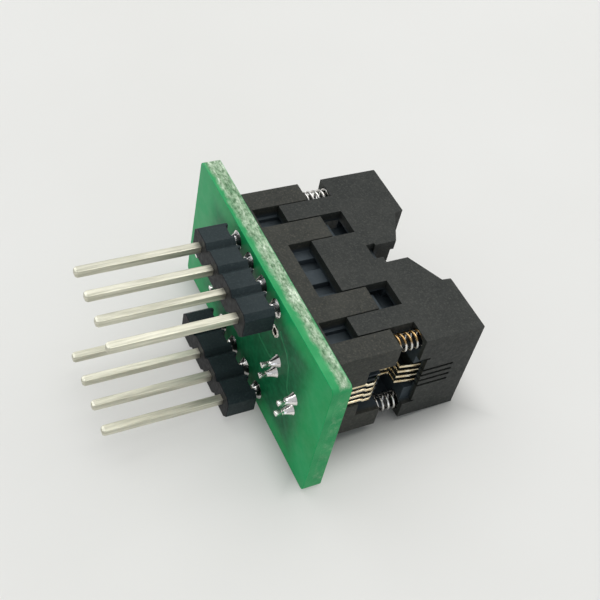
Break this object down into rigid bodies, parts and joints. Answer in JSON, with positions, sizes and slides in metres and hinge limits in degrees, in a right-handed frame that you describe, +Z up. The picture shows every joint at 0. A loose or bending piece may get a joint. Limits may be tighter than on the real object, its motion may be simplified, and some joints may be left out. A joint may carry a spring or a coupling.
{
  "type": "chip programming adapter",
  "caption": "Open-top spring-loaded socket for a small surface-mount chip on a circuit board, with two rows of long square pins that plug into a programmer.",
  "frame": {"origin": "middle of the board's outline, in the plane of the eight pin tips that the adapter stands on", "axes": "+Z up out of the socket, X along the board's long side and the two pin rows, Y across the board"},
  "size_m": [0.0252, 0.013, 0.0288],
  "materials": {
    "circuit_board": "satin solder mask over glass-fibre board",
    "header_plastic": "matte moulded",
    "pin_metal": "pale tin plate",
    "solder": "bright solder",
    "socket_plastic": "matte moulded, filled",
    "cover_plastic": "matte moulded, filled",
    "contact_metal": "pale gold plate",
    "spring_steel": "bright wire"
  },
  "bodies": {
    "board_and_base": {"pcb": "circuit_board", "pin_header_front": "header_plastic", "pin_header_back": "header_plastic", "pin_front_1": "pin_metal", "pin_front_2": "pin_metal", "pin_front_3": "pin_metal", "pin_front_4": "pin_metal", "pin_back_1": "pin_metal", "pin_back_2": "pin_metal", "pin_back_3": "pin_metal", "pin_back_4": "pin_metal", "solder_pin_front_1": "solder", "solder_pin_front_2": "solder", "solder_pin_front_3": "solder", "solder_pin_front_4": "solder", "solder_pin_back_1": "solder", "solder_pin_back_2": "solder", "solder_pin_back_3": "solder", "solder_pin_back_4": "solder", "socket_base": "socket_plastic", "contact_left_1": "contact_metal", "contact_left_2": "contact_metal", "contact_left_3": "contact_metal", "contact_left_4": "contact_metal", "contact_right_1": "contact_metal", "contact_right_2": "contact_metal", "contact_right_3": "contact_metal", "contact_right_4": "contact_metal", "solder_contact_left_1": "solder", "solder_contact_left_2": "solder", "solder_contact_left_3": "solder", "solder_contact_left_4": "solder", "solder_contact_right_1": "solder", "solder_contact_right_2": "solder", "solder_contact_right_3": "solder", "solder_contact_right_4": "solder", "spring_front_left": "spring_steel", "spring_front_right": "spring_steel", "spring_back_left": "spring_steel", "spring_back_right": "spring_steel"},
    "cover": {"socket_cover": "cover_plastic"}
  },
  "joints": [
    {"name": "cover_press", "type": "slide", "parent": "board_and_base", "child": "cover", "axis": [0, 0, -1], "range_m": [0, 0.0019], "stiffness_N_per_m": 1500, "springref_m": -0.0015, "deforming": ["spring_front_left", "spring_front_right", "spring_back_left", "spring_back_right"]}
  ]
}
